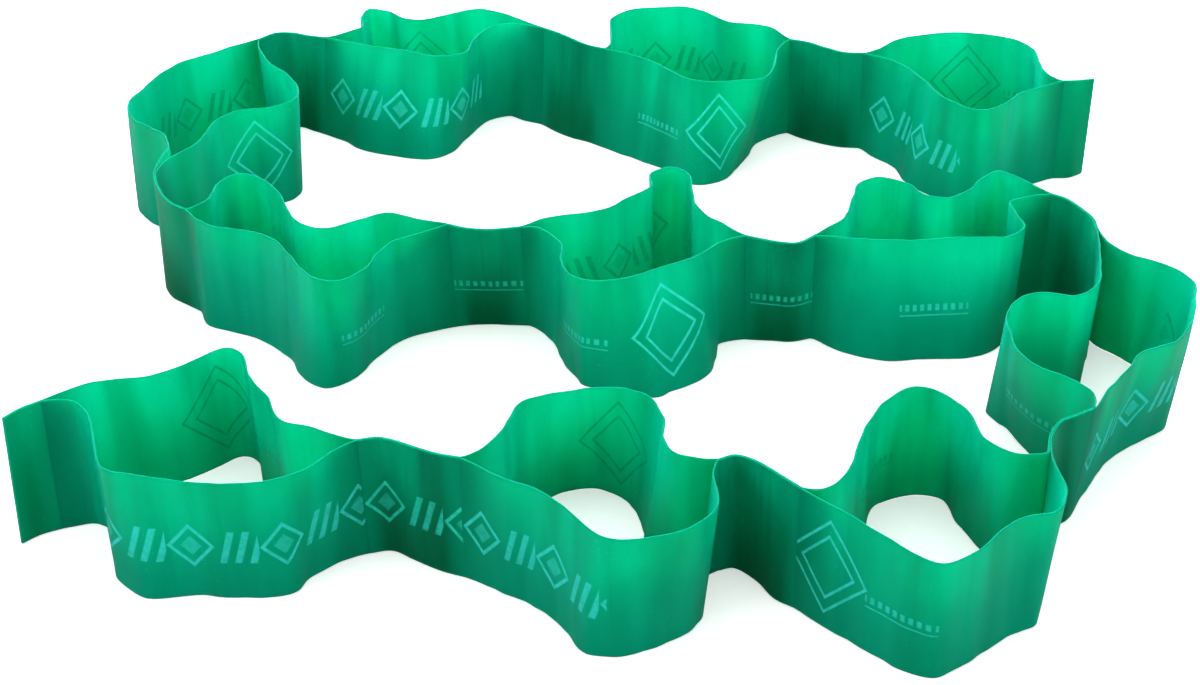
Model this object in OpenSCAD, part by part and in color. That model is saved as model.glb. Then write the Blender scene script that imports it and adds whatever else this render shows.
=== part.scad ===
// Loop resistance band: two long elastic strips, bonded to each other at short
// webs so that eleven loops open between them. It is laid on its edge in an S.
// Loops are numbered from the front left end. Going along the band from that
// end, strip A is on the right hand and strip B on the left hand.

/* [Band] */
// Width of the band, which is its height when it lies on its edge
band_w = 50; // [30:1:80]
// Thickness of one strip
ply_t = 0.6; // [0.3:0.1:0.8]
// Gap in the middle of each bonded web, where the band folds
fold_gap = 1.6; // [1.4:0.1:3]

/* [Smoothness] */
// Flats between two route points of a loop
loop_steps = 4; // [2:1:8]
// Flats between two route points of a web
web_steps = 3; // [2:1:6]

/* [Colours] */
// Colour of strip A
strip_a_colour = "mediumseagreen"; // [mediumseagreen, seagreen, steelblue, indianred, goldenrod]
// Colour of strip B
strip_b_colour = "seagreen"; // [mediumseagreen, seagreen, steelblue, indianred, goldenrod]

/* [Hidden] */

// ---- The route in plan, in whole millimetres ----
// Each web's middle line, where the two strips are bonded face to face. The
// band folds at the middle point of the five. The first and last entries are
// the bonded end tabs.
WEB = [
    [[-220, -128], [-214, -120], [-208, -116]],
    [[-93, -145], [-85, -144], [-75, -149], [-66, -154], [-57, -157]],
    [[30, -163], [36, -161], [43, -165], [50, -173], [56, -180]],
    [[141, -165], [143, -156], [148, -148], [154, -145], [161, -141]],
    [[190, -21], [190, -12], [187, -3], [183, 5], [178, 9]],
    [[78, -18], [71, -22], [64, -22], [57, -19], [51, -16]],
    [[-40, -2], [-47, -2], [-54, -1], [-61, 0], [-68, 1]],
    [[-178, 21], [-184, 26], [-189, 33], [-193, 42], [-196, 52]],
    [[-168, 187], [-161, 193], [-153, 193], [-145, 189], [-136, 186]],
    [[-30, 188], [-23, 180], [-16, 172], [-10, 166], [-2, 162]],
    [[87, 166], [94, 161], [102, 154], [110, 150], [119, 148]],
    [[205, 112], [212, 112], [220, 114]]];

// Strip A of each loop, from one web to the next
LOOP_A = [
    [[-198, -116], [-190, -122], [-186, -132], [-183, -144], [-178, -156], [-166, -161],
     [-150, -165], [-134, -167], [-118, -165], [-109, -159], [-102, -150]],
    [[-46, -166], [-32, -176], [-24, -185], [-14, -198], [-5, -203], [6, -202],
     [18, -197], [26, -189], [28, -178], [27, -168]],
    [[66, -190], [78, -204], [88, -215], [97, -219], [107, -214], [117, -205],
     [127, -198], [137, -195], [141, -187], [140, -176]],
    [[168, -130], [176, -118], [186, -108], [199, -101], [208, -90], [214, -75],
     [216, -61], [210, -49], [199, -41], [192, -32]],
    [[171, 18], [165, 27], [160, 30], [153, 24], [145, 14], [136, 9], [127, 12],
     [120, 22], [109, 28], [101, 23], [97, 10], [93, -3], [85, -11]],
    [[43, -7], [36, 2], [32, 12], [32, 26], [30, 38], [23, 43], [16, 38], [15, 27],
     [8, 20], [-3, 10], [-14, 6], [-27, 4]],
    [[-81, 6], [-94, 12], [-106, 6], [-118, 1], [-129, 6], [-136, 19], [-142, 35],
     [-151, 46], [-160, 50], [-167, 42], [-170, 28]],
    [[-193, 65], [-185, 76], [-180, 88], [-176, 103], [-167, 111], [-154, 113],
     [-144, 119], [-145, 132], [-151, 147], [-160, 160], [-166, 172]],
    [[-125, 177], [-113, 169], [-101, 163], [-89, 157], [-79, 158], [-72, 166],
     [-67, 179], [-60, 190], [-50, 195], [-39, 193]],
    [[7, 155], [17, 146], [27, 134], [36, 123], [48, 120], [60, 122], [68, 129],
     [72, 142], [76, 154]],
    [[128, 141], [136, 130], [140, 116], [146, 102], [153, 92], [164, 86], [174, 91],
     [181, 100], [192, 106]]];

// Strip B of each loop, from one web to the next
LOOP_B = [
    [[-198, -108], [-184, -103], [-170, -101], [-157, -93], [-146, -85], [-140, -88],
     [-136, -103], [-127, -118], [-120, -132], [-108, -138]],
    [[-49, -152], [-43, -142], [-38, -128], [-28, -119], [-14, -116], [-2, -117],
     [7, -125], [11, -138], [11, -151], [17, -160]],
    [[64, -181], [71, -174], [77, -161], [83, -145], [91, -132], [102, -125],
     [112, -129], [118, -141], [120, -156], [128, -165]],
    [[163, -132], [157, -122], [149, -114], [145, -102], [145, -90], [145, -78],
     [151, -68], [161, -66], [171, -69], [179, -62], [185, -48], [188, -34]],
    [[168, 8], [160, 4], [161, -6], [161, -16], [154, -24], [140, -29], [122, -29],
     [106, -28], [93, -24]],
    [[42, -19], [36, -29], [28, -38], [16, -44], [3, -48], [-9, -47], [-18, -42],
     [-22, -30], [-25, -16], [-31, -6]],
    [[-79, -4], [-92, -11], [-98, -20], [-103, -31], [-110, -39], [-119, -38],
     [-127, -29], [-133, -18], [-140, -8], [-150, 1], [-164, 5], [-172, 11]],
    [[-196, 64], [-194, 77], [-197, 89], [-206, 97], [-215, 107], [-219, 121],
     [-216, 135], [-210, 150], [-203, 162], [-190, 172], [-178, 180]],
    [[-126, 191], [-119, 197], [-120, 208], [-117, 218], [-109, 215], [-99, 205],
     [-88, 203], [-76, 209], [-64, 213], [-53, 209], [-42, 199]],
    [[2, 168], [2, 184], [3, 197], [11, 205], [24, 208], [37, 208], [47, 202],
     [58, 189], [70, 185], [79, 179]],
    [[127, 152], [137, 161], [151, 166], [166, 167], [181, 163], [193, 156],
     [198, 145], [198, 131], [199, 120]]];

// ---- Curves ----
function knot(a, b) = sqrt(norm(b - a));
// A point on the smooth curve between p1 and p2, which also knows p0 and p3
function between(p0, p1, p2, p3, u) =
    let (t1 = knot(p0, p1), t2 = t1 + knot(p1, p2), t3 = t2 + knot(p2, p3),
         t = t1 + (t2 - t1) * u,
         a1 = ((t1 - t) * p0 + t * p1) / t1,
         a2 = ((t2 - t) * p1 + (t - t1) * p2) / (t2 - t1),
         a3 = ((t3 - t) * p2 + (t - t2) * p3) / (t3 - t2),
         b1 = ((t2 - t) * a1 + t * a2) / t2,
         b2 = ((t3 - t) * a2 + (t - t1) * a3) / (t3 - t1))
    ((t2 - t) * b1 + (t - t1) * b2) / (t2 - t1);
// The smooth curve through p[1] to the last point but one, with steps flats each
function smooth(p, steps) = [
    for (i = [1 : len(p) - 3], k = [0 : steps - 1])
        between(p[i - 1], p[i], p[i + 1], p[i + 2], k / steps),
    p[len(p) - 2]];
function last(p) = p[len(p) - 1];
function web_curve(i) =
    let (p = WEB[i], n = len(p))
    smooth([2 * p[0] - p[1], for (q = p) q, 2 * p[n - 1] - p[n - 2]], web_steps);
function unit(v) = v / norm(v);

// The half web before a loop, starting just past the fold, and the one after it
function lead_in(i) =
    let (w = web_curve(i), m = (len(w) - 1) / 2)
    i == 0 ? w
    : [w[m] + unit(w[m + 1] - w[m]) * fold_gap / 2, for (k = [m + 1 : len(w) - 1]) w[k]];
function lead_out(i) =
    let (w = web_curve(i), m = (len(w) - 1) / 2)
    i == len(WEB) - 1 ? w
    : [for (k = [0 : m - 1]) w[k], w[m] + unit(w[m - 1] - w[m]) * fold_gap / 2];

// The face of one strip that looks into loop i (from 0), web to web
function inner_face(i, loop) =
    let (before = WEB[i], after = WEB[i + 1],
         mid = smooth([before[len(before) - 2], last(before), for (q = loop) q,
                       after[0], after[1]], loop_steps),
         a = lead_in(i), b = lead_out(i + 1))
    [for (k = [0 : len(a) - 2]) a[k], for (q = mid) q, for (k = [1 : len(b) - 1]) b[k]];

// The same line moved d to its left, keeping the distance even at bends
function left_of(v) = unit([-v[1], v[0]]);
function moved(p, d) = [
    for (i = [0 : len(p) - 1])
        let (n1 = left_of(i == 0 ? p[1] - p[0] : p[i] - p[i - 1]),
             n2 = left_of(i == len(p) - 1 ? p[i] - p[i - 1] : p[i + 1] - p[i]))
        p[i] + d * (n1 + n2) / (1 + n1 * n2)];

// The layout's middle, which becomes the origin
FACES = [for (i = [0 : 10], loop = [LOOP_A[i], LOOP_B[i]]) each
    moved(inner_face(i, loop), loop == LOOP_A[i] ? -ply_t : ply_t)];
XS = [for (q = FACES) q[0]];
YS = [for (q = FACES) q[1]];
MID = [(min(XS) + max(XS)) / 2, (min(YS) + max(YS)) / 2];

// ---- Pieces ----
// One strip of loop n: side is -1 for strip A and 1 for strip B
module ply(n, loop, side) {
    face = inner_face(n - 1, loop);
    back = moved(face, side * ply_t);
    translate([-MID[0], -MID[1], 0])
        linear_extrude(height = band_w)
            polygon([for (q = face) q, for (k = [len(back) - 1 : -1 : 0]) back[k]]);
}
module strip_a(n) { color(strip_a_colour) ply(n, LOOP_A[n - 1], -1); }
module strip_b(n) { color(strip_b_colour) ply(n, LOOP_B[n - 1], 1); }

module strip_a_loop_01() { strip_a(1); }
module strip_b_loop_01() { strip_b(1); }
module strip_a_loop_02() { strip_a(2); }
module strip_b_loop_02() { strip_b(2); }
module strip_a_loop_03() { strip_a(3); }
module strip_b_loop_03() { strip_b(3); }
module strip_a_loop_04() { strip_a(4); }
module strip_b_loop_04() { strip_b(4); }
module strip_a_loop_05() { strip_a(5); }
module strip_b_loop_05() { strip_b(5); }
module strip_a_loop_06() { strip_a(6); }
module strip_b_loop_06() { strip_b(6); }
module strip_a_loop_07() { strip_a(7); }
module strip_b_loop_07() { strip_b(7); }
module strip_a_loop_08() { strip_a(8); }
module strip_b_loop_08() { strip_b(8); }
module strip_a_loop_09() { strip_a(9); }
module strip_b_loop_09() { strip_b(9); }
module strip_a_loop_10() { strip_a(10); }
module strip_b_loop_10() { strip_b(10); }
module strip_a_loop_11() { strip_a(11); }
module strip_b_loop_11() { strip_b(11); }

strip_a_loop_01();
strip_b_loop_01();
strip_a_loop_02();
strip_b_loop_02();
strip_a_loop_03();
strip_b_loop_03();
strip_a_loop_04();
strip_b_loop_04();
strip_a_loop_05();
strip_b_loop_05();
strip_a_loop_06();
strip_b_loop_06();
strip_a_loop_07();
strip_b_loop_07();
strip_a_loop_08();
strip_b_loop_08();
strip_a_loop_09();
strip_b_loop_09();
strip_a_loop_10();
strip_b_loop_10();
strip_a_loop_11();
strip_b_loop_11();
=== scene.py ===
import math
import bpy
import numpy as np
from mathutils import Matrix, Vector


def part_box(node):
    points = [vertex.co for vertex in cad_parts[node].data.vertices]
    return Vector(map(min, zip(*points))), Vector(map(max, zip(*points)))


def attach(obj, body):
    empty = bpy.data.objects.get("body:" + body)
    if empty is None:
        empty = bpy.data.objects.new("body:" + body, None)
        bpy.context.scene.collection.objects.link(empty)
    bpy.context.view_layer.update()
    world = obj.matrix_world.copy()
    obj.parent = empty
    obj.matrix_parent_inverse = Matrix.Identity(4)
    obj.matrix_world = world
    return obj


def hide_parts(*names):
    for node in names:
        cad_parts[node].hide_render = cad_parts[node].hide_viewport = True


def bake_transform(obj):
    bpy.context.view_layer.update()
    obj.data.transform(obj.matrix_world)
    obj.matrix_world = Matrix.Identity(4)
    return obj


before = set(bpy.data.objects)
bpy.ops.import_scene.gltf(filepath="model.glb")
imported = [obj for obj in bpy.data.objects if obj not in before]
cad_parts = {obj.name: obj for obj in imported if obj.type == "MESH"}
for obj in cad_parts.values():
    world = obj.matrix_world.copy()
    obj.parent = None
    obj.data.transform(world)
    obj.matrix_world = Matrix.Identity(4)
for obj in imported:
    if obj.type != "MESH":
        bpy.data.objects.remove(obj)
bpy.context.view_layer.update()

# ---------------------------------------------------------------- dimensions
# Millimetres in the layout's own plan; MM turns them into metres.
MM = 0.001
HIGH = 50.0          # the band's width, which stands upright
PLY = 0.6            # one strip
LOOPS = 11

# The route in plan, as in the CAD source. Each web's middle line:
WEB = [
    [[-220, -128], [-214, -120], [-208, -116]],
    [[-93, -145], [-85, -144], [-75, -149], [-66, -154], [-57, -157]],
    [[30, -163], [36, -161], [43, -165], [50, -173], [56, -180]],
    [[141, -165], [143, -156], [148, -148], [154, -145], [161, -141]],
    [[190, -21], [190, -12], [187, -3], [183, 5], [178, 9]],
    [[78, -18], [71, -22], [64, -22], [57, -19], [51, -16]],
    [[-40, -2], [-47, -2], [-54, -1], [-61, 0], [-68, 1]],
    [[-178, 21], [-184, 26], [-189, 33], [-193, 42], [-196, 52]],
    [[-168, 187], [-161, 193], [-153, 193], [-145, 189], [-136, 186]],
    [[-30, 188], [-23, 180], [-16, 172], [-10, 166], [-2, 162]],
    [[87, 166], [94, 161], [102, 154], [110, 150], [119, 148]],
    [[205, 112], [212, 112], [220, 114]]]
# Strip A of each loop, from one web to the next:
STRIP_A = [
    [[-198, -116], [-190, -122], [-186, -132], [-183, -144], [-178, -156], [-166, -161],
     [-150, -165], [-134, -167], [-118, -165], [-109, -159], [-102, -150]],
    [[-46, -166], [-32, -176], [-24, -185], [-14, -198], [-5, -203], [6, -202],
     [18, -197], [26, -189], [28, -178], [27, -168]],
    [[66, -190], [78, -204], [88, -215], [97, -219], [107, -214], [117, -205],
     [127, -198], [137, -195], [141, -187], [140, -176]],
    [[168, -130], [176, -118], [186, -108], [199, -101], [208, -90], [214, -75],
     [216, -61], [210, -49], [199, -41], [192, -32]],
    [[171, 18], [165, 27], [160, 30], [153, 24], [145, 14], [136, 9], [127, 12],
     [120, 22], [109, 28], [101, 23], [97, 10], [93, -3], [85, -11]],
    [[43, -7], [36, 2], [32, 12], [32, 26], [30, 38], [23, 43], [16, 38], [15, 27],
     [8, 20], [-3, 10], [-14, 6], [-27, 4]],
    [[-81, 6], [-94, 12], [-106, 6], [-118, 1], [-129, 6], [-136, 19], [-142, 35],
     [-151, 46], [-160, 50], [-167, 42], [-170, 28]],
    [[-193, 65], [-185, 76], [-180, 88], [-176, 103], [-167, 111], [-154, 113],
     [-144, 119], [-145, 132], [-151, 147], [-160, 160], [-166, 172]],
    [[-125, 177], [-113, 169], [-101, 163], [-89, 157], [-79, 158], [-72, 166],
     [-67, 179], [-60, 190], [-50, 195], [-39, 193]],
    [[7, 155], [17, 146], [27, 134], [36, 123], [48, 120], [60, 122], [68, 129],
     [72, 142], [76, 154]],
    [[128, 141], [136, 130], [140, 116], [146, 102], [153, 92], [164, 86], [174, 91],
     [181, 100], [192, 106]]]
# Strip B of each loop:
STRIP_B = [
    [[-198, -108], [-184, -103], [-170, -101], [-157, -93], [-146, -85], [-140, -88],
     [-136, -103], [-127, -118], [-120, -132], [-108, -138]],
    [[-49, -152], [-43, -142], [-38, -128], [-28, -119], [-14, -116], [-2, -117],
     [7, -125], [11, -138], [11, -151], [17, -160]],
    [[64, -181], [71, -174], [77, -161], [83, -145], [91, -132], [102, -125],
     [112, -129], [118, -141], [120, -156], [128, -165]],
    [[163, -132], [157, -122], [149, -114], [145, -102], [145, -90], [145, -78],
     [151, -68], [161, -66], [171, -69], [179, -62], [185, -48], [188, -34]],
    [[168, 8], [160, 4], [161, -6], [161, -16], [154, -24], [140, -29], [122, -29],
     [106, -28], [93, -24]],
    [[42, -19], [36, -29], [28, -38], [16, -44], [3, -48], [-9, -47], [-18, -42],
     [-22, -30], [-25, -16], [-31, -6]],
    [[-79, -4], [-92, -11], [-98, -20], [-103, -31], [-110, -39], [-119, -38],
     [-127, -29], [-133, -18], [-140, -8], [-150, 1], [-164, 5], [-172, 11]],
    [[-196, 64], [-194, 77], [-197, 89], [-206, 97], [-215, 107], [-219, 121],
     [-216, 135], [-210, 150], [-203, 162], [-190, 172], [-178, 180]],
    [[-126, 191], [-119, 197], [-120, 208], [-117, 218], [-109, 215], [-99, 205],
     [-88, 203], [-76, 209], [-64, 213], [-53, 209], [-42, 199]],
    [[2, 168], [2, 184], [3, 197], [11, 205], [24, 208], [37, 208], [47, 202],
     [58, 189], [70, 185], [79, 179]],
    [[127, 152], [137, 161], [151, 166], [166, 167], [181, 163], [193, 156],
     [198, 145], [198, 131], [199, 120]]]

# How the walls lean: at route point i, how far the top edge and the bottom edge
# stand off the middle height (x and y of the top, then of the bottom).
LEAN_WEB = {
    0: {0: (1, 3, 0, -5), 1: (0, 1, 0, -8), 2: (0, 1, 1, -9)},
    1: {2: (0, 0, -1, -1), 3: (0, 0, -1, -2), 4: (0, 0, -1, -3)},
    2: {0: (0, 0, 0, 2), 1: (0, 0, 0, 1), 2: (0, 0, 0, -2), 3: (0, 0, -1, -4), 4: (0, 0, -1, -2)},
    3: {1: (0, 0, 1, 3), 2: (0, 0, 3, 5), 3: (0, 0, 1, 4), 4: (0, 0, -3, 3)},
    4: {0: (0, 0, 1, -3)},
    5: {0: (0, 0, 0, 2), 1: (0, -1, -1, 4), 2: (0, 0, 0, 5), 3: (0, 0, 0, 3), 4: (0, 0, 0, 1)},
    6: {0: (1, -1, 2, 3), 1: (0, -2, 0, 4), 2: (0, -3, 0, 4), 3: (-1, -2, 0, 3), 4: (0, 0, 0, 1)},
    7: {2: (0, 0, -2, -1), 3: (0, 0, -3, -1), 4: (0, 0, -1, -2)},
    8: {1: (0, 0, 3, -3), 2: (0, 0, 0, -3), 3: (0, 0, -2, -3), 4: (0, 0, -4, -5)},
    9: {0: (0, 0, -3, -4), 1: (1, 1, -4, -3), 2: (1, 1, -3, -3), 3: (1, 1, -1, -2), 4: (0, 1, -3, -3)},
    10: {1: (1, 1, -1, -1), 2: (1, 1, 0, 0)},
    11: {2: (-1, -1, -1, 2)}}
LEAN_A = {
    0: {0: (0, 1, 1, -7), 1: (0, 0, 0, -3), 2: (0, 0, -1, 0), 3: (0, 0, -1, 0), 4: (0, 0, -2, 0), 5: (0, 1, -2, -4),
        9: (1, -1, -3, 2), 10: (1, -1, -1, 1)},
    1: {0: (0, 0, 0, -2), 1: (0, 1, -1, -1), 2: (1, 1, -1, -2), 3: (1, 0, -2, -3), 5: (0, -1, -1, 2),
        6: (1, -1, -2, 3), 7: (1, 0, -4, 3), 8: (0, 0, -5, 0), 9: (1, 0, -3, 2)},
    2: {0: (0, 0, -2, -2), 1: (0, 0, -1, -1), 3: (0, -1, 0, 1), 4: (1, -1, 0, 1), 7: (0, -1, -3, 0),
        8: (1, 0, -6, -3), 9: (1, 0, -4, 0)},
    3: {0: (0, 0, -3, 4), 1: (1, -1, -3, 4), 2: (0, 0, -3, 6), 3: (0, 0, -3, 8), 4: (0, 0, -2, 5), 5: (0, 0, -5, 4),
        6: (0, 0, -6, 0), 7: (0, 0, -5, 3),
        8: (0, 0, 2, 2), 9: (0, 0, 2, 1)},
    4: {12: (0, 0, -3, -3)},
    5: {0: (0, 0, 1, -3)},
    6: {0: (0, 0, 1, -2), 10: (0, 0, -3, -3)},
    7: {6: (0, 0, -4, 0), 7: (1, 0, -2, -4)},
    8: {0: (1, 3, -4, -5), 1: (3, 5, -7, -6), 2: (3, 6, -3, -7), 3: (3, 6, 1, -6), 4: (1, 3, 1, -1),
        5: (4, -2, -1, 1), 6: (3, -1, 0, 0), 7: (1, -1, 0, 0), 9: (0, 0, -3, -4)},
    9: {0: (2, 2, -3, -4), 1: (3, 2, -3, -3), 2: (2, 2, -4, 1), 3: (1, 4, 1, -5), 4: (0, 4, 1, -1),
        5: (0, 2, -5, 3), 6: (3, -3, -8, 4), 7: (5, -1, -7, 3), 8: (3, -1, -5, 3)},
    10: {0: (1, 1, -3, -2), 1: (2, 1, -3, -2), 2: (3, 1, -4, -1), 3: (2, 1, -2, 0), 4: (1, 1, 0, 0),
         8: (0, 0, 2, 1)}}
LEAN_B = {
    0: {0: (0, 0, 2, -5), 1: (0, 0, 1, -2)},
    1: {3: (1, -3, 1, 3), 4: (0, -3, 1, 4), 5: (-1, -2, -1, -1), 6: (0, 0, -5, -1), 7: (2, 0, -6, -1),
        8: (1, 0, -5, 3)},
    2: {0: (0, 0, -3, -4), 4: (0, 0, -2, 3), 5: (0, 0, 0, 2), 6: (-1, -1, 2, 3), 8: (0, 0, 3, 1)},
    3: {0: (0, 0, -4, 3), 1: (0, 0, 0, 9), 2: (-1, -1, 3, 15), 3: (-3, -1, 2, 17), 4: (-3, 0, -2, 12),
        5: (-1, 0, -4, 7), 6: (0, 0, -4, 2), 9: (1, -1, -1, 0), 10: (0, 0, -3, 0), 11: (0, 0, 0, 0)},
    4: {4: (0, 1, -1, -3), 5: (0, 6, 1, -5), 6: (0, 6, 0, -5), 7: (0, 5, 0, -6), 8: (1, 3, -3, -3)},
    5: {0: (0, 0, -2, 1), 1: (-2, 2, 2, 0), 2: (-2, 5, 5, -4), 3: (-3, 5, 3, -7), 4: (-1, 3, 6, -6),
        5: (0, 1, -4, 1), 6: (0, 0, 1, 1), 8: (2, 0, -1, -1), 9: (0, 2, 0, 0)},
    6: {0: (0, -1, -1, 2), 1: (1, -1, -1, 2), 2: (2, -1, -2, 1), 3: (3, -1, -2, 1), 4: (0, -1, -1, 2),
        5: (1, 1, 0, -2), 6: (2, 1, -3, -1), 7: (2, 1, -2, -1), 8: (2, 2, -2, -2), 9: (0, 1, -2, -2),
        10: (0, 1, 0, -1), 11: (1, 1, -1, -1)},
    7: {3: (0, 0, -3, -1), 4: (0, 0, -2, -2), 5: (0, 0, -2, -4)},
    8: {10: (0, 0, -1, -1)},
    9: {0: (0, 0, -4, -4)},
    10: {0: (0, 0, -4, -3), 8: (0, 0, 2, -3)}}

# Printed motifs, by piece: a row runs from one share of the piece's length to
# another, and a mark sits at one share of it. They are plain shapes.
ROWS = {"1A": (0.30, 1.0), "w1": (0.0, 1.0), "2A": (0.0, 0.50), "4A": (0.02, 0.72), "9A": (0.02, 0.72),
        "11A": (0.04, 0.55), "6A": (0.45, 1.0), "8B": (0.5, 0.95), "10B": (0.15, 0.8)}
MARKS = {"1B": 0.42, "3A": 0.10, "6B": 0.34, "8A": 0.44, "10A": 0.52, "9B": 0.5, "11B": 0.45, "2B": 0.55}
TICKS = {"1B": 0.68, "3A": 0.32, "7B": 0.30, "6B": 0.62, "5B": 0.62, "8A": 0.66, "3B": 0.40, "4B": 0.24, "9B": 0.75, "10A": 0.26,
         "11B": 0.70, "w6": 0.5, "w5": 0.45}

# ---------------------------------------------------------------- curves


def knot(a, b):
    return math.sqrt(math.hypot(b[0] - a[0], b[1] - a[1]))


def weights(points, steps):
    """Rows of weights on the points, one for each sample of the smooth curve from the second point to the last but one."""
    p = np.array(points, float)
    n = len(p)
    eye = np.eye(n)
    out = []
    for i in range(1, n - 2):
        t1 = knot(p[i - 1], p[i])
        t2 = t1 + knot(p[i], p[i + 1])
        t3 = t2 + knot(p[i + 1], p[i + 2])
        for k in range(steps):
            t = t1 + (t2 - t1) * k / steps
            q = eye[i - 1], eye[i], eye[i + 1], eye[i + 2]
            a1 = ((t1 - t) * q[0] + t * q[1]) / t1
            a2 = ((t2 - t) * q[1] + (t - t1) * q[2]) / (t2 - t1)
            a3 = ((t3 - t) * q[2] + (t - t2) * q[3]) / (t3 - t2)
            b1 = ((t2 - t) * a1 + t * a2) / t2
            b2 = ((t3 - t) * a2 + (t - t1) * a3) / (t3 - t1)
            out.append(((t2 - t) * b1 + (t - t1) * b2) / (t2 - t1))
    out.append(eye[n - 2])
    return np.array(out)


def edges_of(points, lean):
    """The top edge's and the bottom edge's route points."""
    top = np.array(points, float)
    low = np.array(points, float)
    for i, (tx, ty, bx, by) in lean.items():
        top[i] += (tx, ty)
        low[i] += (bx, by)
    return top, low


def all_points():
    """The band's points in plan, found as the CAD source finds them; the layout's middle is taken from them."""
    found = []
    for i in range(LOOPS):
        for side, strip in ((-1, STRIP_A), (1, STRIP_B)):
            route = [WEB[i][-2], WEB[i][-1]] + strip[i] + [WEB[i + 1][0], WEB[i + 1][1]]
            line = weights(route, 4) @ np.array(route, float)
            found.append(offset(line, side * PLY))
    for p in (np.array(WEB[0], float), np.array(WEB[-1], float)):
        route = np.vstack([2 * p[0] - p[1], p, 2 * p[-1] - p[-2]])
        line = weights(route, 3) @ route
        found += [offset(line, -PLY), offset(line, PLY)]
    return np.vstack(found)


def offset(line, d):
    out = np.array(line, float)
    for i in range(len(line)):
        n = [np.array([-(b - a)[1], (b - a)[0]]) / np.linalg.norm(b - a)
             for a, b in ((line[max(i - 1, 0)], line[max(i, 1)]),
                          (line[min(i, len(line) - 2)], line[min(i + 1, len(line) - 1)]))]
        out[i] = line[i] + d * (n[0] + n[1]) / (1 + n[0] @ n[1])
    return out


def middle():
    box = np.array([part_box(name) for name in sorted(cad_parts)])
    low, high = box[:, 0].min(0), box[:, 1].max(0)
    p = all_points()
    span = p.max(0) - p.min(0)
    assert abs(span[0] * MM - (high[0] - low[0])) < 0.002 and abs(span[1] * MM - (high[1] - low[1])) < 0.002
    return (p.max(0) + p.min(0)) / 2 - (high[:2] + low[:2]) / 2 / MM


MID = middle()


def normals(line):
    t = np.gradient(line, axis=0)
    t /= np.linalg.norm(t, axis=1)[:, None]
    return np.c_[-t[:, 1], t[:, 0]]


# The band's faces are rows at these heights, closer together near the edges.
EDGE = PLY / 2
ROWS_Z = np.array([EDGE, 0.7, 1.4, 2.6, 5, 8.5, 12.5, 16.5, 20.8, 25, 29.2, 33.5, 37.5, 41.5, 45, 47.4, 48.6,
                   49.3, HIGH - EDGE])
CAP = [math.pi / 4, math.pi / 2, 3 * math.pi / 4]


def ripple(seed, s, z, size, long):
    """A slight wave of the sheet, mostly across its height, which fades out at the piece's ends."""
    rnd = np.random.RandomState(seed)
    f = np.zeros((len(s), len(z)))
    for wave, share in ((41, 1.0), (23, 0.7), (13, 0.42), (7.5, 0.18)):
        a, b = rnd.uniform(0, 2 * math.pi, 2)
        lean = rnd.uniform(-0.25, 0.25)
        grow = 0.65 + 0.35 * np.cos(2 * math.pi * z / (HIGH * 2.1) + b)
        f += share * np.sin(2 * math.pi * (s[:, None] + lean * z[None, :]) / wave + a) * grow[None, :]
    fade = np.clip(np.minimum(s, long - s) / 14, 0, 1)
    fade = fade * fade * (3 - 2 * fade)
    return size * f * fade[:, None]


def side_by_side(route, top, low, steps, ends):
    """Columns along the piece at every height: (columns, rows, xy), the normals, and the length along it."""
    w = weights(route, steps)
    mid = w @ np.array(route, float)
    up, down = w @ top, w @ low
    s = np.r_[0, np.cumsum(np.linalg.norm(np.diff(mid, axis=0), axis=1))]
    xy, nn = [], []
    for z in ROWS_Z:
        line = down + (up - down) * z / HIGH
        n = normals(line)
        xy.append(line)
        nn.append(n)
    return np.stack(xy, 1), np.stack(nn, 1), s


def fix_ends(n, first, last):
    n = n.copy()
    for at, want, run in ((0, first, 6), (-1, last, 6)):
        if want is None:
            continue
        for k in range(run):
            j = k if at == 0 else len(n) - 1 - k
            m = (1 - k / run) * want + (k / run) * n[j]
            n[j] = m / np.linalg.norm(m, axis=-1)[:, None]
    return n


def web_line(i):
    p = np.array(WEB[i], float)
    top, low = edges_of(WEB[i], LEAN_WEB.get(i, {}))
    add = lambda q: np.vstack([2 * q[0] - q[1], q, 2 * q[-1] - q[-2]])
    return side_by_side(add(p), add(top), add(low), 12, None)


WEBS = [web_line(i) for i in range(12)]


def strip_line(i, side):
    strip, lean = (STRIP_A, LEAN_A) if side < 0 else (STRIP_B, LEAN_B)
    parts = []
    for w, idx in ((WEB[i], [-2, -1]), (WEB[i + 1], [0, 1])):
        t, l = edges_of(w, LEAN_WEB.get(i if w is WEB[i] else i + 1, {}))
        parts.append((np.array(w, float)[idx], t[idx], l[idx]))
    t, l = edges_of(strip[i], lean.get(i, {}))
    route = np.vstack([parts[0][0], np.array(strip[i], float), parts[1][0]])
    top = np.vstack([parts[0][1], t, parts[1][1]])
    low = np.vstack([parts[0][2], l, parts[1][2]])
    xy, n, s = side_by_side(route, top, low, 10, None)
    n = fix_ends(n, WEBS[i][1][-1], WEBS[i + 1][1][0])
    return xy, n, s


# ---------------------------------------------------------------- meshes


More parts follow.
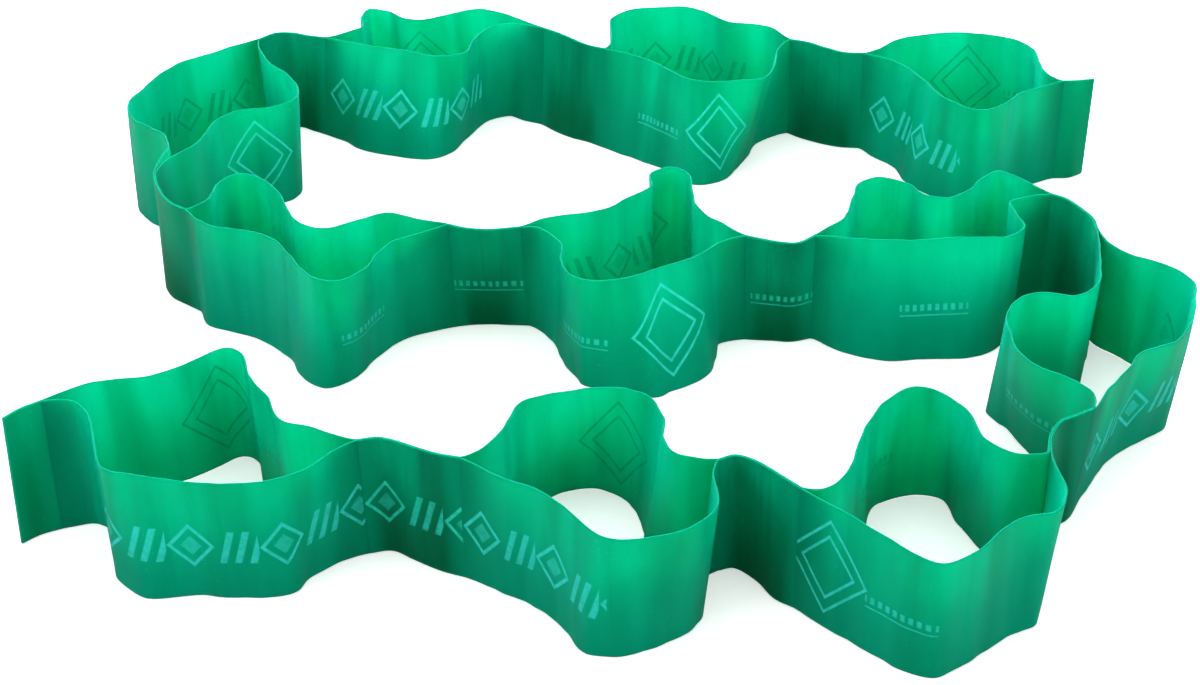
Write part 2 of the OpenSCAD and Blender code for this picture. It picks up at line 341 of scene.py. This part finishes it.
def mesh_of(name, verts, quads, polys, per_vertex, mats, slots, sharp):
    faces = quads.tolist() + [list(p) for p in polys]
    me = bpy.data.meshes.new(name)
    me.from_pydata(verts.tolist(), [], faces)
    corner = np.zeros(len(me.loops), np.int32)
    me.loops.foreach_get("vertex_index", corner)
    for key, values in per_vertex.items():
        me.uv_layers.new(name=key).data.foreach_set("uv", values[corner].astype(np.float32).ravel())
    for m in mats:
        me.materials.append(m)
    me.polygons.foreach_set("material_index", np.array(slots, np.int32))
    me.polygons.foreach_set("use_smooth", [True] * len(faces))
    me.update()
    ends = np.zeros(len(me.edges) * 2, np.int32)
    me.edges.foreach_get("vertices", ends)
    ends = ends.reshape(-1, 2)
    flag = np.isin(ends, list(sharp)).all(1)
    layer = me.attributes.get("sharp_edge") or me.attributes.new("sharp_edge", "BOOLEAN", "EDGE")
    layer.data.foreach_set("value", flag)
    o = bpy.data.objects.new(name, me)
    bpy.context.scene.collection.objects.link(o)
    return o


def xyz(xy, z):
    return np.concatenate([(xy - MID) * MM, np.broadcast_to(np.asarray(z, float) * MM, xy.shape[:-1])[..., None]], -1)


def caps(a, b, z, up):
    """The rounded edge from face a to face b, both (columns, 2)."""
    c, r = (a + b) / 2, np.linalg.norm(b - a, axis=1).mean() / 2
    return [xyz(c + (a - c) * math.cos(t), np.full(len(a), z + (r if up else -r) * math.sin(t))) for t in CAP]


def build(name, rings, tags, s, closed_pairs, mats, prints, mat_of):
    """rings is (columns, ring, xyz). tags gives each ring vertex's height and its face, 0 in, 1 out, 2 edge."""
    cols, ring, _ = rings.shape
    verts = rings.reshape(-1, 3)
    j, k = np.meshgrid(np.arange(cols - 1), np.arange(ring), indexing="ij")
    k2 = (k + 1) % ring
    quads = np.stack([j * ring + k, (j + 1) * ring + k, (j + 1) * ring + k2, j * ring + k2], -1).reshape(-1, 4)
    slots = [mat_of(tags[q], tags[(q + 1) % ring]) for q in range(ring)] * (cols - 1)
    polys = [tuple(p) for p in closed_pairs] + [tuple((cols - 1) * ring + q for q in p[::-1]) for p in closed_pairs]
    slots += [len(mats) - 1] * len(polys)
    tri = np.vstack([quads[:, [0, 1, 2]], quads[:, [0, 2, 3]],
                     [(p[0], p[q], p[q + 1]) for p in polys for q in range(1, len(p) - 1)]])
    if np.einsum("ij,ij->", verts[tri[:, 0]], np.cross(verts[tri[:, 1]], verts[tri[:, 2]])) < 0:
        quads = quads[:, ::-1]
        polys = [p[::-1] for p in polys]
    row, mark, tick = prints
    long = s[-1]
    along = np.repeat(s, ring)
    height = np.tile([t[0] for t in tags], cols)
    blank = np.zeros(len(verts))
    per_vertex = {
        "ends": np.c_[along, long - along] * MM,
        "band": np.c_[along * MM + name_shift(name), height * MM],
        "row": np.c_[along - row[0] * long, along - row[1] * long] * MM if row else np.c_[blank - 1, blank + 1],
        "mark": np.c_[along - mark * long, height - HIGH / 2] * MM if mark is not None else np.c_[blank + 5, blank],
        "tick": np.c_[along - tick * long, height - HIGH / 2] * MM if tick is not None else np.c_[blank + 5, blank]}
    sharp = set(range(ring)) | set(range((cols - 1) * ring, cols * ring))
    return mesh_of(name, verts, quads, polys, per_vertex, mats, slots, sharp)


def name_shift(name):
    """Every piece takes its own stretch of the patterns, so that no two look the same."""
    return 0.37 * (sum(ord(c) * (i + 3) for i, c in enumerate(name)) % 97)


def strip(i, side, mats):
    xy, n, s = strip_line(i, side)
    wave = ripple(100 * i + (7 if side < 0 else 53), s, ROWS_Z, 0.38, s[-1])
    face = xy + n * wave[..., None]
    back = face + side * PLY * n
    K = len(ROWS_Z)
    inner, outer = xyz(face, ROWS_Z[None, :]), xyz(back, ROWS_Z[None, :])
    top = caps(face[:, -1], back[:, -1], HIGH - EDGE, True)
    low = caps(back[:, 0], face[:, 0], EDGE, False)
    rings = np.concatenate([inner, np.stack(top, 1), outer[:, ::-1], np.stack(low, 1)], 1)
    tags = [(z, 0) for z in ROWS_Z] + [(HIGH, 2)] * 3 + [(z, 1) for z in ROWS_Z[::-1]] + [(0, 2)] * 3
    o0 = K + 3                     # the outer face's top row
    polys = [(k, k + 1, o0 + K - 2 - k, o0 + K - 1 - k) for k in range(K - 1)]
    polys += [tuple(range(K - 1, K + 4)), tuple(range(o0 + K - 1, o0 + K + 3)) + (0,)]
    key = "%d%s" % (i + 1, "A" if side < 0 else "B")
    name = "loop_%02d_strip_%s" % (i + 1, "a" if side < 0 else "b")
    pick = lambda a, b: 1 if 2 not in (a[1], b[1]) and a[1] == 1 and b[1] == 1 else 0 if a[1] == b[1] == 0 else 1
    o = build(name, rings, tags, s, polys, mats, (ROWS.get(key), MARKS.get(key), TICKS.get(key)), pick)
    return o, s[-1]


def web(i, mats, name):
    xy, n, s = WEBS[i]
    K = len(ROWS_Z)
    wave = ripple(900 + i, s, ROWS_Z, 0.16, s[-1])
    mid = xy + n * wave[..., None]
    a, b = mid - n * PLY, mid + n * PLY
    A, B = xyz(a, ROWS_Z[None, :]), xyz(b, ROWS_Z[None, :])
    top = caps(a[:, -1], mid[:, -1], HIGH - EDGE, True) + [xyz(mid[:, -1], np.full(len(mid), HIGH - EDGE))] \
        + caps(mid[:, -1], b[:, -1], HIGH - EDGE, True)
    low = caps(b[:, 0], mid[:, 0], EDGE, False) + [xyz(mid[:, 0], np.full(len(mid), EDGE))] \
        + caps(mid[:, 0], a[:, 0], EDGE, False)
    rings = np.concatenate([A, np.stack(top, 1), B[:, ::-1], np.stack(low, 1)], 1)
    tags = [(z, 1) for z in ROWS_Z] + [(HIGH, 2)] * 7 + [(z, 1) for z in ROWS_Z[::-1]] + [(0, 2)] * 7
    o0 = K + 7
    m, e = K + 3, o0 + K + 3
    polys = [(k, k + 1, o0 + K - 2 - k, o0 + K - 1 - k) for k in range(K - 1)]
    polys += [tuple(range(K - 1, m + 1)), tuple(range(m, o0 + 1)), (K - 1, m, o0)]
    polys += [tuple(range(o0 + K - 1, e + 1)), tuple(range(e, e + 4)) + (0,), (o0 + K - 1, e, 0)]
    key = "w%d" % i
    o = build(name, rings, tags, s, polys, mats, (ROWS.get(key), MARKS.get(key), TICKS.get(key)), lambda p, q: 0)
    return o, s[-1]


# ---------------------------------------------------------------- materials


class Nodes:
    def __init__(self, name):
        self.mat = bpy.data.materials.new(name)
        self.mat.use_nodes = True
        self.t = self.mat.node_tree
        self.t.nodes.clear()

    def new(self, kind, **set_to):
        n = self.t.nodes.new(kind)
        for k, v in set_to.items():
            setattr(n, k, v)
        return n

    def put(self, value, socket):
        if hasattr(value, "links"):
            self.t.links.new(value, socket)
        else:
            socket.default_value = value

    def m(self, op, *args, clamp=False):
        n = self.new("ShaderNodeMath", operation=op, use_clamp=clamp)
        for k, a in enumerate(args):
            self.put(a, n.inputs[k])
        return n.outputs[0]

    def uv(self, name):
        n = self.new("ShaderNodeUVMap", uv_map=name)
        x = self.new("ShaderNodeSeparateXYZ")
        self.t.links.new(n.outputs[0], x.inputs[0])
        return x.outputs[0], x.outputs[1], n.outputs[0]

    def at(self, x, y, z=0.0):
        n = self.new("ShaderNodeCombineXYZ")
        for k, a in enumerate((x, y, z)):
            self.put(a, n.inputs[k])
        return n.outputs[0]

    def noise(self, where, scale, detail=2.0, rough=0.5):
        n = self.new("ShaderNodeTexNoise")
        n.inputs["Scale"].default_value = scale
        n.inputs["Detail"].default_value = detail
        n.inputs["Roughness"].default_value = rough
        self.t.links.new(where, n.inputs["Vector"])
        return n.outputs[0]

    def ramp(self, value, lo, hi, to_lo=0.0, to_hi=1.0):
        n = self.new("ShaderNodeMapRange", interpolation_type="SMOOTHSTEP")
        self.put(value, n.inputs[0])
        for k, v in enumerate((lo, hi, to_lo, to_hi)):
            n.inputs[k + 1].default_value = v
        return n.outputs[0]

    def mix(self, factor, a, b):
        n = self.new("ShaderNodeMix", data_type="RGBA")
        self.put(factor, n.inputs[0])
        self.put(a, n.inputs[6])
        self.put(b, n.inputs[7])
        return n.outputs[2]


def inside(n, d, width, soft=0.0002):
    """1 where d is under width, with a soft edge."""
    return n.ramp(d, width - soft, width + soft, 1.0, 0.0)


def motif(n):
    """The printed shapes: a row of lozenges and slanted bars, and a large mark, and ticks."""
    u, v, _ = n.uv("band")
    rx, rend, _ = n.uv("row")
    mx, mz, _ = n.uv("mark")
    m = n.m
    # the row: cells of 32 mm, each with a lozenge in a lozenge and three slanted bars
    z = m("SUBTRACT", v, 0.0225)
    cell = m("SUBTRACT", m("MODULO", m("ADD", rx, 3.2), 0.032), 0.0085)
    loz = m("SUBTRACT", m("ADD", m("DIVIDE", m("ABSOLUTE", cell), 0.0074), m("DIVIDE", m("ABSOLUTE", z), 0.0084)), 1.0)
    loz_line = inside(n, m("ABSOLUTE", m("MULTIPLY", loz, 0.0055)), 0.00060)
    loz_in = inside(n, m("ADD", m("MULTIPLY", loz, 0.0055), 0.0028), 0.0)
    slant = m("SUBTRACT", m("SUBTRACT", cell, 0.0100), m("MULTIPLY", z, 0.30))
    one = m("SUBTRACT", m("MODULO", m("ADD", slant, 0.0520), 0.0052), 0.0026)
    span = m("MULTIPLY", n.ramp(slant, -0.0002, 0.0), n.ramp(slant, 0.0154, 0.0156, 1.0, 0.0))
    bar = m("MAXIMUM", m("SUBTRACT", m("ABSOLUTE", one), 0.0012), m("SUBTRACT", m("ABSOLUTE", z), 0.0068))
    line = m("MAXIMUM", loz_line, m("MULTIPLY", m("MULTIPLY", inside(n, bar, 0.0), span), 0.85))
    fill = m("MULTIPLY", loz_in, 0.55)
    row = m("MULTIPLY", m("MAXIMUM", line, fill), m("MULTIPLY", n.ramp(rx, 0.0, 0.0004), n.ramp(rend, -0.0004, 0.0, 1.0, 0.0)))
    # the mark: two outlined lozenges, one in the other
    big = m("SUBTRACT", m("ADD", m("DIVIDE", m("ABSOLUTE", mx), 0.0165), m("DIVIDE", m("ABSOLUTE", mz), 0.0185)), 1.0)
    small = m("SUBTRACT", m("ADD", m("DIVIDE", m("ABSOLUTE", mx), 0.0110), m("DIVIDE", m("ABSOLUTE", mz), 0.0125)), 1.0)
    big_line = inside(n, m("ABSOLUTE", m("MULTIPLY", big, 0.0123)), 0.00048)
    small_line = inside(n, m("ABSOLUTE", m("MULTIPLY", small, 0.0083)), 0.00048)
    # the ticks beside it, with a line under them
    tx, tz, _ = n.uv("tick")
    tz = m("ADD", tz, 0.003)
    tick = m("ABSOLUTE", m("SUBTRACT", m("MODULO", m("ADD", tx, 0.9), 0.0030), 0.0015))
    ticks = m("MULTIPLY", inside(n, tick, 0.0008), inside(n, m("ABSOLUTE", tz), 0.0013))
    under = inside(n, m("ABSOLUTE", m("ADD", tz, 0.0032)), 0.00022)
    near = inside(n, m("ABSOLUTE", tx), 0.0135)
    mark = m("MAXIMUM", m("MAXIMUM", big_line, small_line),
             m("MULTIPLY", m("MAXIMUM", m("MULTIPLY", ticks, 0.8), under), near))
    return m("MAXIMUM", row, mark)


def rubber(name, base, light, dark, ink, ink_share, bonded=False, junction_shade=None):
    """Satin, see-through elastic sheet."""
    n = Nodes(name)
    u, v, uv = n.uv("band")
    m = n.m
    cloud = n.noise(n.at(u, v), 28.0, 3.0)                          # milky clouds a few cm wide
    streak = n.noise(n.at(m("MULTIPLY", u, 1.0), m("MULTIPLY", v, 0.05)), 340.0, 3.0, 0.6)   # fine upright streaks: painted shade of the sheet's fine flutes, and a relief in the bump
    # painted shade: broad upright bands, a centimetre or two wide, for the shade of the sheet's broad folds
    broad_fold_shade = n.noise(n.at(m("MULTIPLY", u, 1.0), m("MULTIPLY", v, 0.12)), 70.0, 2.0)
    grain = n.noise(n.at(u, v, 0.3), 2600.0, 2.0)
    speck = n.noise(n.at(u, v, 0.7), 900.0, 1.0)
    col = n.mix(n.ramp(cloud, 0.3, 0.72), base, light)
    # painted shade: the broad bands darken the colour, a little more on the webs
    col = n.mix(m("MULTIPLY", n.ramp(broad_fold_shade, 0.35, 0.75), 0.55 if bonded else 0.5), col, dark)
    # painted shade: the fine streaks darken the colour, more on the webs
    col = n.mix(m("MULTIPLY", n.ramp(streak, 0.5, 0.8), 0.40 if bonded else 0.22), col, dark)
    # painted shade: one sheet is painted darker towards the web, in the crease where the other lies close behind it,
    # and the web is painted lighter towards its ends, where that shade eases off
    e0, e1, _ = n.uv("ends")
    near = n.ramp(m("MINIMUM", e0, e1), 0.0, 0.009 if bonded else 0.020, 1.0, 0.0)
    # painted shade: each sheet is painted darker towards its bottom edge, for the shade low in the loops, more strongly
    # on the webs
    low = n.ramp(v, 0.003, 0.040, 1.0, 0.0)
    col = n.mix(m("MULTIPLY", low, 0.78 if bonded else 0.38), col, dark)
    col = n.mix(m("MULTIPLY", near, m("SUBTRACT", 0.95, m("MULTIPLY", low, 0.15))), col, junction_shade)
    # dust that the sheet holds as pale specks
    dust = m("MULTIPLY", n.ramp(speck, 0.66, 0.78), n.ramp(cloud, 0.45, 0.7))
    col = n.mix(m("MULTIPLY", dust, 0.10), col, (0.30, 0.75, 0.60, 1))
    # painted shade: the cut edges are painted darker in a band of uneven width, darkest right at the rim, to hold down
    # the light that the rounded edges catch
    from_edge = m("SUBTRACT", 0.025, m("ABSOLUTE", m("SUBTRACT", v, 0.025)))
    edge_shade_width = m("ADD", 0.00042, m("MULTIPLY", n.noise(n.at(u, 0.0), 160.0, 2.0), 0.0006))
    edge = inside(n, m("SUBTRACT", from_edge, edge_shade_width), 0.0, 0.00018)
    col = n.mix(m("MULTIPLY", edge, 0.30), col, (0.0, 0.46, 0.27, 1))
    brink = n.ramp(from_edge, 0.00008, 0.00028, 1.0, 0.0)
    col = n.mix(m("MULTIPLY", brink, 0.9), col, (0.0, 0.22, 0.13, 1))
    # ink, thin in places
    shapes = motif(n)
    thin = n.ramp(n.noise(n.at(u, v, 1.3), 420.0, 3.0, 0.65), 0.32, 0.62, 0.55, 1.0)
    inked = m("MULTIPLY", m("MULTIPLY", shapes, thin), ink_share)
    col = n.mix(inked, col, ink)
    rough = m("ADD", n.ramp(cloud, 0.25, 0.75, 0.30, 0.40), m("MULTIPLY", grain, 0.08))
    rough = m("ADD", rough, m("MULTIPLY", edge, 0.40), clamp=True)
    bump_h = m("ADD", m("MULTIPLY", grain, 0.25), m("MULTIPLY", streak, 0.9 if bonded else 0.55))
    bump_h = m("ADD", bump_h, m("MULTIPLY", shapes, 0.35))
    bump = n.new("ShaderNodeBump")
    bump.inputs["Strength"].default_value = 0.35
    bump.inputs["Distance"].default_value = 0.00008
    n.put(bump_h, bump.inputs["Height"])
    p = n.new("ShaderNodeBsdfPrincipled")
    n.put(col, p.inputs["Base Color"])
    n.put(rough, p.inputs["Roughness"])
    n.put(bump.outputs[0], p.inputs["Normal"])
    p.inputs["IOR"].default_value = 1.5
    # the cut edge has little of the sheet's satin face, and both the ink and the cut edge hide what is behind them
    n.put(m("MULTIPLY", 0.22, m("SUBTRACT", 1.0, m("MULTIPLY", brink, 0.9))), p.inputs["Specular IOR Level"])
    p.inputs["Specular Tint"].default_value = (0.06, 1.0, 0.88, 1)
    solid = m("MAXIMUM", m("MULTIPLY", inked, 0.7), m("MULTIPLY", brink, 0.9))
    n.put(m("MULTIPLY", 0.43, m("SUBTRACT", 1.0, solid)), p.inputs["Transmission Weight"])
    n.put(m("SUBTRACT", 1.0, m("MULTIPLY", inked, 0.8)), p.inputs["Subsurface Weight"])
    p.inputs["Subsurface Radius"].default_value = (0.5, 1.0, 0.8)
    p.inputs["Subsurface Scale"].default_value = 0.0016
    out = n.new("ShaderNodeOutputMaterial")
    n.t.links.new(p.outputs[0], out.inputs[0])
    return n.mat


BASE = (0.0, 0.64, 0.43, 1)
LIGHT = (0.0, 0.72, 0.50, 1)
# DARK is the painted shade colour the outer faces are darkened to in folds, streaks and low down
DARK = (0.0, 0.40, 0.22, 1)
outer = rubber("elastic_outer", BASE, LIGHT, DARK, (0.06, 0.98, 0.88, 1), 0.95, junction_shade=(0.0, 0.44, 0.25, 1))
# painted light: the inner faces are a paler green than the outer faces, for the light that comes through the walls onto
# them
inner = rubber("elastic_inner", (0.0, 0.70, 0.46, 1), (0.0, 0.78, 0.54, 1), (0.0, 0.43, 0.24, 1), (0.0, 0.30, 0.13, 1),
               0.55, junction_shade=(0.0, 0.44, 0.25, 1))
# the webs, and the end tabs below: two plies bonded, so a deeper green, and partly painted shade of the hollows between
# the loops
bonded = rubber("elastic_bonded", (0.0, 0.50, 0.27, 1), (0.0, 0.56, 0.32, 1), (0.0, 0.19, 0.07, 1),
                (0.05, 0.95, 0.82, 1), 0.80, bonded=True, junction_shade=(0.0, 0.49, 0.28, 1))
tab = rubber("elastic_tab", (0.0, 0.58, 0.29, 1), (0.0, 0.66, 0.36, 1), (0.0, 0.38, 0.17, 1),
             (0.05, 0.95, 0.82, 1), 0.80, bonded=True, junction_shade=(0.0, 0.54, 0.29, 1))

# ---------------------------------------------------------------- the band
for i in range(LOOPS):
    for side in (-1, 1):
        tag = "a" if side < 0 else "b"
        o, long = strip(i, side, [inner, outer])
        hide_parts("strip_%s_loop_%02d" % (tag, i + 1))
        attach(o, "loop_%02d" % (i + 1))

for i in range(12):
    if i == 0:
        name = "end_tab_front"
    elif i == 11:
        name = "end_tab_back"
    else:
        name = "web_%02d_%02d" % (i, i + 1)
    o, long = web(i, [tab if i in (0, 11) else bonded], name)
    if i in (0, 11):
        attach(o, "loop_01" if i == 0 else "loop_11")
    else:
        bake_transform(o)

# ---------------------------------------------------------------- stage
floor = bpy.data.meshes.new("floor")
floor.from_pydata([(-12, -12, 0), (12, -12, 0), (12, 12, 0), (-12, 12, 0)], [], [(0, 1, 2, 3)])
floor = bpy.data.objects.new("floor", floor)
floor.location.z = -0.0002
bpy.context.scene.collection.objects.link(floor)
f = Nodes("floor")
seen = f.new("ShaderNodeBsdfDiffuse")
seen.inputs[0].default_value = (0.86, 0.86, 0.86, 1)
glow = f.new("ShaderNodeEmission")
glow.inputs[0].default_value = (1, 1, 1, 1)
glow.inputs[1].default_value = 0.45
both = f.new("ShaderNodeAddShader")
f.t.links.new(seen.outputs[0], both.inputs[0])
f.t.links.new(glow.outputs[0], both.inputs[1])
dim = f.new("ShaderNodeBsdfDiffuse")
dim.inputs[0].default_value = (0.16, 0.17, 0.165, 1)
path = f.new("ShaderNodeLightPath")
pick = f.new("ShaderNodeMixShader")
f.t.links.new(path.outputs["Is Camera Ray"], pick.inputs[0])
f.t.links.new(dim.outputs[0], pick.inputs[1])
f.t.links.new(both.outputs[0], pick.inputs[2])
fo = f.new("ShaderNodeOutputMaterial")
f.t.links.new(pick.outputs[0], fo.inputs[0])
floor.data.materials.append(f.mat)

world = bpy.data.worlds.new("studio")
bpy.context.scene.world = world
world.use_nodes = True
world.node_tree.nodes["Background"].inputs[0].default_value = (1, 1, 1, 1)
world.node_tree.nodes["Background"].inputs[1].default_value = 0.55


def lamp(name, place, aim, size, power, colour=(1, 1, 1)):
    data = bpy.data.lights.new(name, "AREA")
    data.shape = "RECTANGLE"
    data.size, data.size_y = size
    data.energy = power
    data.color = colour
    o = bpy.data.objects.new(name, data)
    bpy.context.scene.collection.objects.link(o)
    p, q = np.array(place, float), np.array(aim, float)
    z = (p - q) / np.linalg.norm(p - q)
    x = np.cross([0, 1, 0] if abs(z[2]) > 0.9 else [0, 0, 1], z)
    x /= np.linalg.norm(x)
    y = np.cross(z, x)
    o.matrix_world = Matrix([[x[0], y[0], z[0], p[0]], [x[1], y[1], z[1], p[1]], [x[2], y[2], z[2], p[2]], [0, 0, 0, 1]])
    return o


lamp("key", (-1.5, -0.8, 0.9), (0, -0.15, 0), (1.2, 0.9), 12)
lamp("fill", (1.4, -1.0, 0.8), (0, -0.15, 0), (0.9, 0.9), 11)
lamp("back", (0.0, 1.9, 0.85), (0, 0, 0), (3.0, 0.9), 120)
lamp("top", (0.0, 0.2, 1.9), (0, 0, 0), (1.6, 1.6), 24)

# ---------------------------------------------------------------- camera
cam = bpy.data.cameras.new("camera")
cam.sensor_fit, cam.sensor_width = "HORIZONTAL", 36.0
cam.lens = 59.0085
cam.clip_start, cam.clip_end = 0.01, 50
eye = bpy.data.objects.new("camera", cam)
bpy.context.scene.collection.objects.link(eye)
tilt, roll = 0.583827, 0.0338459
fw = np.array([0, math.cos(tilt), -math.sin(tilt)])
up = np.array([0, math.sin(tilt), math.cos(tilt)])
rt = np.array([1.0, 0, 0])
cx = math.cos(roll) * rt - math.sin(roll) * up
cy = math.sin(roll) * rt + math.cos(roll) * up
eye.matrix_world = Matrix([[cx[0], cy[0], -fw[0], -0.008190], [cx[1], cy[1], -fw[1], -0.690384],
                           [cx[2], cy[2], -fw[2], 0.447088], [0, 0, 0, 1]])
bpy.context.scene.camera = eye

view = bpy.context.scene.view_settings
view.view_transform = "Standard"
view.look = "None"
